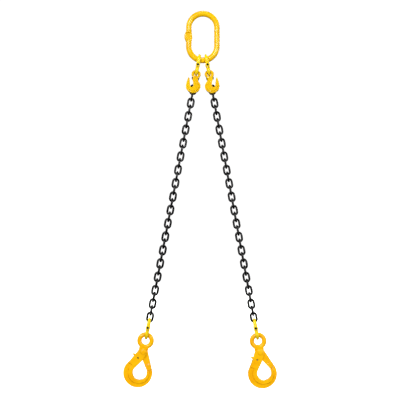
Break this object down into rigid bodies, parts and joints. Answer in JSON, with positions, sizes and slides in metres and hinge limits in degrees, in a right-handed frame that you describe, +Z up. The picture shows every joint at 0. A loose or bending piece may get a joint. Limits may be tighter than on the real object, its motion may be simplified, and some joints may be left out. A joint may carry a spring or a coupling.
{
  "type": "two-leg chain sling",
  "caption": "Two-leg steel chain sling hanging from an oblong master link, with connecting links, slotted grab hooks and self-locking eye hooks.",
  "frame": {"origin": "the crane hook seat: the middle of the inner top of the master link", "axes": "+Z up along the hanging sling, +X to the right across the two legs, +Y through the master link, away from the grab hooks"},
  "size_m": [0.4155, 0.0507, 1.0192],
  "materials": {
    "master_paint": "glossy yellow powder coat",
    "coupling_paint": "glossy yellow paint over forged steel",
    "hook_paint": "glossy orange-yellow paint over forged steel",
    "chain_steel": "black lacquered alloy chain, slightly glossy",
    "dark_pin_steel": "dark tempered steel",
    "bright_steel": "plain machined steel"
  },
  "bodies": {
    "master_link": {"master_link": "master_paint"},
    "left_coupling_top": {"left_top_coupling_upper": "coupling_paint", "left_top_coupling_pin": "dark_pin_steel", "left_top_coupling_sleeve": "bright_steel"},
    "left_coupling_bottom": {"left_top_coupling_lower": "coupling_paint"},
    "left_grab_hook": {"left_grab_hook": "hook_paint"},
    "left_top_link": {"left_chain_top_link": "chain_steel"},
    "left_segment_01": {"left_chain_segment_01": "chain_steel"},
    "left_segment_02": {"left_chain_segment_02": "chain_steel"},
    "left_segment_03": {"left_chain_segment_03": "chain_steel"},
    "left_segment_04": {"left_chain_segment_04": "chain_steel"},
    "left_segment_05": {"left_chain_segment_05": "chain_steel"},
    "left_segment_06": {"left_chain_segment_06": "chain_steel"},
    "left_segment_07": {"left_chain_segment_07": "chain_steel"},
    "left_segment_08": {"left_chain_segment_08": "chain_steel"},
    "left_segment_09": {"left_chain_segment_09": "chain_steel"},
    "left_segment_10": {"left_chain_segment_10": "chain_steel"},
    "left_segment_11": {"left_chain_segment_11": "chain_steel"},
    "left_segment_12": {"left_chain_segment_12": "chain_steel"},
    "left_end_coupling_top": {"left_end_coupling_upper": "coupling_paint", "left_end_coupling_pin": "dark_pin_steel", "left_end_coupling_sleeve": "bright_steel"},
    "left_end_coupling_bottom": {"left_end_coupling_lower": "coupling_paint"},
    "left_hook_eye": {"left_hook_eye_and_gate": "hook_paint"},
    "left_hook_body": {"left_hook_bowl": "hook_paint", "left_hook_pivot_pin": "hook_paint", "left_trigger_pin": "dark_pin_steel"},
    "left_trigger": {"left_hook_trigger": "hook_paint", "left_trigger_spring": "bright_steel"},
    "right_coupling_top": {"right_top_coupling_upper": "coupling_paint", "right_top_coupling_pin": "dark_pin_steel", "right_top_coupling_sleeve": "bright_steel"},
    "right_coupling_bottom": {"right_top_coupling_lower": "coupling_paint"},
    "right_grab_hook": {"right_grab_hook": "hook_paint"},
    "right_top_link": {"right_chain_top_link": "chain_steel"},
    "right_segment_01": {"right_chain_segment_01": "chain_steel"},
    "right_segment_02": {"right_chain_segment_02": "chain_steel"},
    "right_segment_03": {"right_chain_segment_03": "chain_steel"},
    "right_segment_04": {"right_chain_segment_04": "chain_steel"},
    "right_segment_05": {"right_chain_segment_05": "chain_steel"},
    "right_segment_06": {"right_chain_segment_06": "chain_steel"},
    "right_segment_07": {"right_chain_segment_07": "chain_steel"},
    "right_segment_08": {"right_chain_segment_08": "chain_steel"},
    "right_segment_09": {"right_chain_segment_09": "chain_steel"},
    "right_segment_10": {"right_chain_segment_10": "chain_steel"},
    "right_segment_11": {"right_chain_segment_11": "chain_steel"},
    "right_segment_12": {"right_chain_segment_12": "chain_steel"},
    "right_end_coupling_top": {"right_end_coupling_upper": "coupling_paint", "right_end_coupling_pin": "dark_pin_steel", "right_end_coupling_sleeve": "bright_steel"},
    "right_end_coupling_bottom": {"right_end_coupling_lower": "coupling_paint"},
    "right_hook_eye": {"right_hook_eye_and_gate": "hook_paint"},
    "right_hook_body": {"right_hook_bowl": "hook_paint", "right_hook_pivot_pin": "hook_paint", "right_trigger_pin": "dark_pin_steel"},
    "right_trigger": {"right_hook_trigger": "hook_paint", "right_trigger_spring": "bright_steel"}
  },
  "joints": [
    {"name": "left_leg_swing", "type": "hinge", "parent": "master_link", "child": "left_coupling_top", "pos_m": [-0.01034, 0, -0.11635], "axis": [0.983, 0, -0.1834], "range_deg": [-75, 75]},
    {"name": "left_leg_spread", "type": "hinge", "parent": "left_coupling_top", "child": "left_coupling_bottom", "pos_m": [-0.013, 0, -0.1306], "axis": [0, 1, 0], "range_deg": [-3, 45]},
    {"name": "left_grab_hook_swing", "type": "hinge", "parent": "left_coupling_bottom", "child": "left_grab_hook", "pos_m": [-0.0176, 0, -0.15527], "axis": [0, 1, 0], "range_deg": [-2.5, 36]},
    {"name": "left_chain_hinge_00", "type": "hinge", "parent": "left_coupling_bottom", "child": "left_top_link", "pos_m": [-0.0179, 0, -0.15685], "axis": [0, -1, 0], "range_deg": [-30, 8]},
    {"name": "left_chain_hinge_01", "type": "hinge", "parent": "left_top_link", "child": "left_segment_01", "pos_m": [-0.02087, 0.0034, -0.17277], "axis": [0.983, 0, -0.1834], "range_deg": [-10, 40]},
    {"name": "left_chain_hinge_02", "type": "hinge", "parent": "left_segment_01", "child": "left_segment_02", "pos_m": [-0.031, 0.0034, -0.22703], "axis": [0, 1, 0], "range_deg": [-10, 40]},
    {"name": "left_chain_hinge_03", "type": "hinge", "parent": "left_segment_02", "child": "left_segment_03", "pos_m": [-0.04112, 0.0034, -0.2813], "axis": [-0.983, 0, 0.1834], "range_deg": [-40, 40]},
    {"name": "left_chain_hinge_04", "type": "hinge", "parent": "left_segment_03", "child": "left_segment_04", "pos_m": [-0.05125, 0.0034, -0.33556], "axis": [0, -1, 0], "range_deg": [-40, 12]},
    {"name": "left_chain_hinge_05", "type": "hinge", "parent": "left_segment_04", "child": "left_segment_05", "pos_m": [-0.06137, 0.0034, -0.38982], "axis": [0.983, 0, -0.1834], "range_deg": [-40, 40]},
    {"name": "left_chain_hinge_06", "type": "hinge", "parent": "left_segment_05", "child": "left_segment_06", "pos_m": [-0.0715, 0.0034, -0.44409], "axis": [0, 1, 0], "range_deg": [-15, 40]},
    {"name": "left_chain_hinge_07", "type": "hinge", "parent": "left_segment_06", "child": "left_segment_07", "pos_m": [-0.08162, 0.0034, -0.49835], "axis": [-0.983, 0, 0.1834], "range_deg": [-40, 40]},
    {"name": "left_chain_hinge_08", "type": "hinge", "parent": "left_segment_07", "child": "left_segment_08", "pos_m": [-0.09175, 0.0034, -0.55261], "axis": [0, -1, 0], "range_deg": [-40, 18]},
    {"name": "left_chain_hinge_09", "type": "hinge", "parent": "left_segment_08", "child": "left_segment_09", "pos_m": [-0.10187, 0.0034, -0.60688], "axis": [0.983, 0, -0.1834], "range_deg": [-40, 40]},
    {"name": "left_chain_hinge_10", "type": "hinge", "parent": "left_segment_09", "child": "left_segment_10", "pos_m": [-0.112, 0.0034, -0.66114], "axis": [0, 1, 0], "range_deg": [-25, 40]},
    {"name": "left_chain_hinge_11", "type": "hinge", "parent": "left_segment_10", "child": "left_segment_11", "pos_m": [-0.12213, 0.0034, -0.7154], "axis": [-0.983, 0, 0.1834], "range_deg": [-40, 40]},
    {"name": "left_chain_hinge_12", "type": "hinge", "parent": "left_segment_11", "child": "left_segment_12", "pos_m": [-0.13225, 0.0034, -0.76967], "axis": [0, -1, 0], "range_deg": [-40, 35]},
    {"name": "left_end_coupling_swing", "type": "hinge", "parent": "left_segment_12", "child": "left_end_coupling_top", "pos_m": [-0.14238, 0.0034, -0.82393], "axis": [0.983, 0, -0.1834], "range_deg": [-50, 50]},
    {"name": "left_end_coupling_fold", "type": "hinge", "parent": "left_end_coupling_top", "child": "left_end_coupling_bottom", "pos_m": [-0.14548, 0.0034, -0.84054], "axis": [0, 1, 0], "range_deg": [-45, 45]},
    {"name": "left_hook_swing", "type": "hinge", "parent": "left_end_coupling_bottom", "child": "left_hook_eye", "pos_m": [-0.15093, 0.0034, -0.86974], "axis": [0, -1, 0], "range_deg": [-45, 45]},
    {"name": "left_hook_opening", "type": "hinge", "parent": "left_hook_eye", "child": "left_hook_body", "pos_m": [-0.15773, 0.0034, -0.90621], "axis": [0, -1, 0], "range_deg": [0, 22]},
    {"name": "left_trigger_press", "type": "hinge", "parent": "left_hook_body", "child": "left_trigger", "pos_m": [-0.17185, 0.0034, -0.92189], "axis": [0, -1, 0], "range_deg": [0, 15], "stiffness_Nm_per_rad": 0.05, "springref_deg": -5.73},
    {"name": "right_leg_swing", "type": "hinge", "parent": "master_link", "child": "right_coupling_top", "pos_m": [0.01034, 0, -0.11635], "axis": [-0.983, 0, -0.1834], "range_deg": [-75, 75]},
    {"name": "right_leg_spread", "type": "hinge", "parent": "right_coupling_top", "child": "right_coupling_bottom", "pos_m": [0.013, 0, -0.1306], "axis": [0, -1, 0], "range_deg": [-3, 45]},
    {"name": "right_grab_hook_swing", "type": "hinge", "parent": "right_coupling_bottom", "child": "right_grab_hook", "pos_m": [0.0176, 0, -0.15527], "axis": [0, -1, 0], "range_deg": [-2.5, 36]},
    {"name": "right_chain_hinge_00", "type": "hinge", "parent": "right_coupling_bottom", "child": "right_top_link", "pos_m": [0.0179, 0, -0.15685], "axis": [0, 1, 0], "range_deg": [-30, 8]},
    {"name": "right_chain_hinge_01", "type": "hinge", "parent": "right_top_link", "child": "right_segment_01", "pos_m": [0.02087, 0.0034, -0.17277], "axis": [0.983, 0, 0.1834], "range_deg": [-10, 40]},
    {"name": "right_chain_hinge_02", "type": "hinge", "parent": "right_segment_01", "child": "right_segment_02", "pos_m": [0.031, 0.0034, -0.22703], "axis": [0, -1, 0], "range_deg": [-10, 40]},
    {"name": "right_chain_hinge_03", "type": "hinge", "parent": "right_segment_02", "child": "right_segment_03", "pos_m": [0.04112, 0.0034, -0.2813], "axis": [-0.983, 0, -0.1834], "range_deg": [-40, 40]},
    {"name": "right_chain_hinge_04", "type": "hinge", "parent": "right_segment_03", "child": "right_segment_04", "pos_m": [0.05125, 0.0034, -0.33556], "axis": [0, 1, 0], "range_deg": [-40, 12]},
    {"name": "right_chain_hinge_05", "type": "hinge", "parent": "right_segment_04", "child": "right_segment_05", "pos_m": [0.06137, 0.0034, -0.38982], "axis": [0.983, 0, 0.1834], "range_deg": [-40, 40]},
    {"name": "right_chain_hinge_06", "type": "hinge", "parent": "right_segment_05", "child": "right_segment_06", "pos_m": [0.0715, 0.0034, -0.44409], "axis": [0, -1, 0], "range_deg": [-15, 40]},
    {"name": "right_chain_hinge_07", "type": "hinge", "parent": "right_segment_06", "child": "right_segment_07", "pos_m": [0.08162, 0.0034, -0.49835], "axis": [-0.983, 0, -0.1834], "range_deg": [-40, 40]},
    {"name": "right_chain_hinge_08", "type": "hinge", "parent": "right_segment_07", "child": "right_segment_08", "pos_m": [0.09175, 0.0034, -0.55261], "axis": [0, 1, 0], "range_deg": [-40, 18]},
    {"name": "right_chain_hinge_09", "type": "hinge", "parent": "right_segment_08", "child": "right_segment_09", "pos_m": [0.10187, 0.0034, -0.60688], "axis": [0.983, 0, 0.1834], "range_deg": [-40, 40]},
    {"name": "right_chain_hinge_10", "type": "hinge", "parent": "right_segment_09", "child": "right_segment_10", "pos_m": [0.112, 0.0034, -0.66114], "axis": [0, -1, 0], "range_deg": [-25, 40]},
    {"name": "right_chain_hinge_11", "type": "hinge", "parent": "right_segment_10", "child": "right_segment_11", "pos_m": [0.12213, 0.0034, -0.7154], "axis": [-0.983, 0, -0.1834], "range_deg": [-40, 40]},
    {"name": "right_chain_hinge_12", "type": "hinge", "parent": "right_segment_11", "child": "right_segment_12", "pos_m": [0.13225, 0.0034, -0.76967], "axis": [0, 1, 0], "range_deg": [-40, 35]},
    {"name": "right_end_coupling_swing", "type": "hinge", "parent": "right_segment_12", "child": "right_end_coupling_top", "pos_m": [0.14238, 0.0034, -0.82393], "axis": [0.983, 0, 0.1834], "range_deg": [-50, 50]},
    {"name": "right_end_coupling_fold", "type": "hinge", "parent": "right_end_coupling_top", "child": "right_end_coupling_bottom", "pos_m": [0.14548, 0.0034, -0.84054], "axis": [0, -1, 0], "range_deg": [-45, 45]},
    {"name": "right_hook_swing", "type": "hinge", "parent": "right_end_coupling_bottom", "child": "right_hook_eye", "pos_m": [0.15093, 0.0034, -0.86974], "axis": [0, 1, 0], "range_deg": [-45, 45]},
    {"name": "right_hook_opening", "type": "hinge", "parent": "right_hook_eye", "child": "right_hook_body", "pos_m": [0.15773, 0.0034, -0.90621], "axis": [0, -1, 0], "range_deg": [0, 22]},
    {"name": "right_trigger_press", "type": "hinge", "parent": "right_hook_body", "child": "right_trigger", "pos_m": [0.15022, 0.0034, -0.92592], "axis": [0, -1, 0], "range_deg": [0, 15], "stiffness_Nm_per_rad": 0.05, "springref_deg": -5.73}
  ]
}
